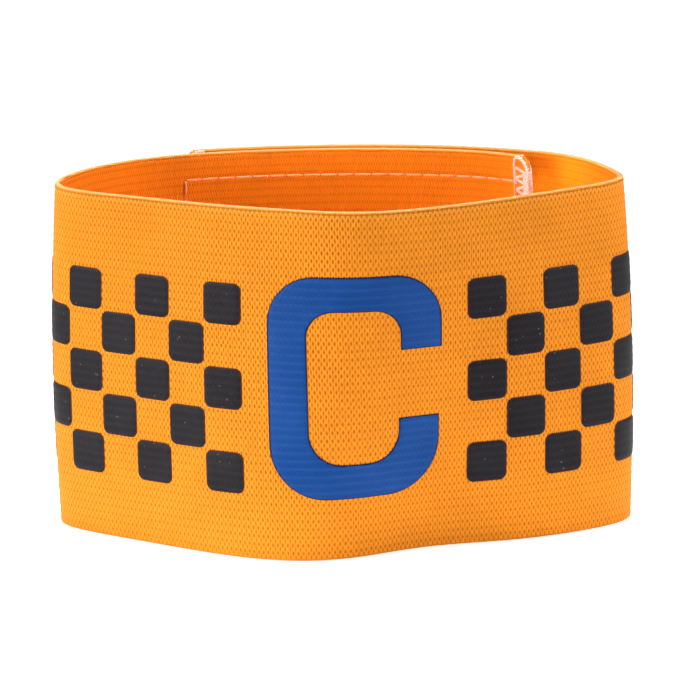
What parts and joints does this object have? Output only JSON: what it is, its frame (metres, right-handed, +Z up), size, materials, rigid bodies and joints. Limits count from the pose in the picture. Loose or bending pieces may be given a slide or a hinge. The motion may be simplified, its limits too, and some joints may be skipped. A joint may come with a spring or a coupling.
{
  "type": "captain armband",
  "caption": "Elastic captain armband standing on its edge: a webbing strip wrapped into a loop and closed by hook and loop, with a film rank letter and film checks.",
  "frame": {"origin": "centre of the bounding box at the lower edge, on the surface the band stands on", "axes": "+X to the right as the letter is read, along the loop's longer side; +Y to the closure at the back; +Z up, along the arm"},
  "size_m": [0.1178, 0.0788, 0.07],
  "materials": {
    "elastic": "ribbed elastic webbing, matt",
    "loop_pile": "brushed loop pile",
    "hook_tape": "moulded hook tape, matt",
    "blue_film": "heat-pressed film, satin",
    "black_film": "heat-pressed film, satin",
    "thread": "pale pink sewing thread"
  },
  "bodies": {
    "root": {"elastic_band": "elastic", "loop_patch": "loop_pile", "hook_patch": "hook_tape", "captain_letter": "blue_film", "check_left_1_1": "black_film", "check_left_1_3": "black_film", "check_left_1_5": "black_film", "check_left_2_2": "black_film", "check_left_2_4": "black_film", "check_left_3_1": "black_film", "check_left_3_3": "black_film", "check_left_3_5": "black_film", "check_left_4_2": "black_film", "check_left_4_4": "black_film", "check_left_5_1": "black_film", "check_left_5_3": "black_film", "check_left_5_5": "black_film", "check_left_6_2": "black_film", "check_left_6_4": "black_film", "check_left_7_1": "black_film", "check_left_7_3": "black_film", "check_left_7_5": "black_film", "check_left_8_2": "black_film", "check_left_8_4": "black_film", "check_right_1_1": "black_film", "check_right_1_3": "black_film", "check_right_1_5": "black_film", "check_right_2_2": "black_film", "check_right_2_4": "black_film", "check_right_3_1": "black_film", "check_right_3_3": "black_film", "check_right_3_5": "black_film", "check_right_4_2": "black_film", "check_right_4_4": "black_film", "check_right_5_1": "black_film", "check_right_5_3": "black_film", "check_right_5_5": "black_film", "check_right_6_2": "black_film", "check_right_6_4": "black_film", "check_right_7_1": "black_film", "check_right_7_3": "black_film", "check_right_7_5": "black_film", "check_right_8_2": "black_film", "check_right_8_4": "black_film"}
  },
  "joints": []
}
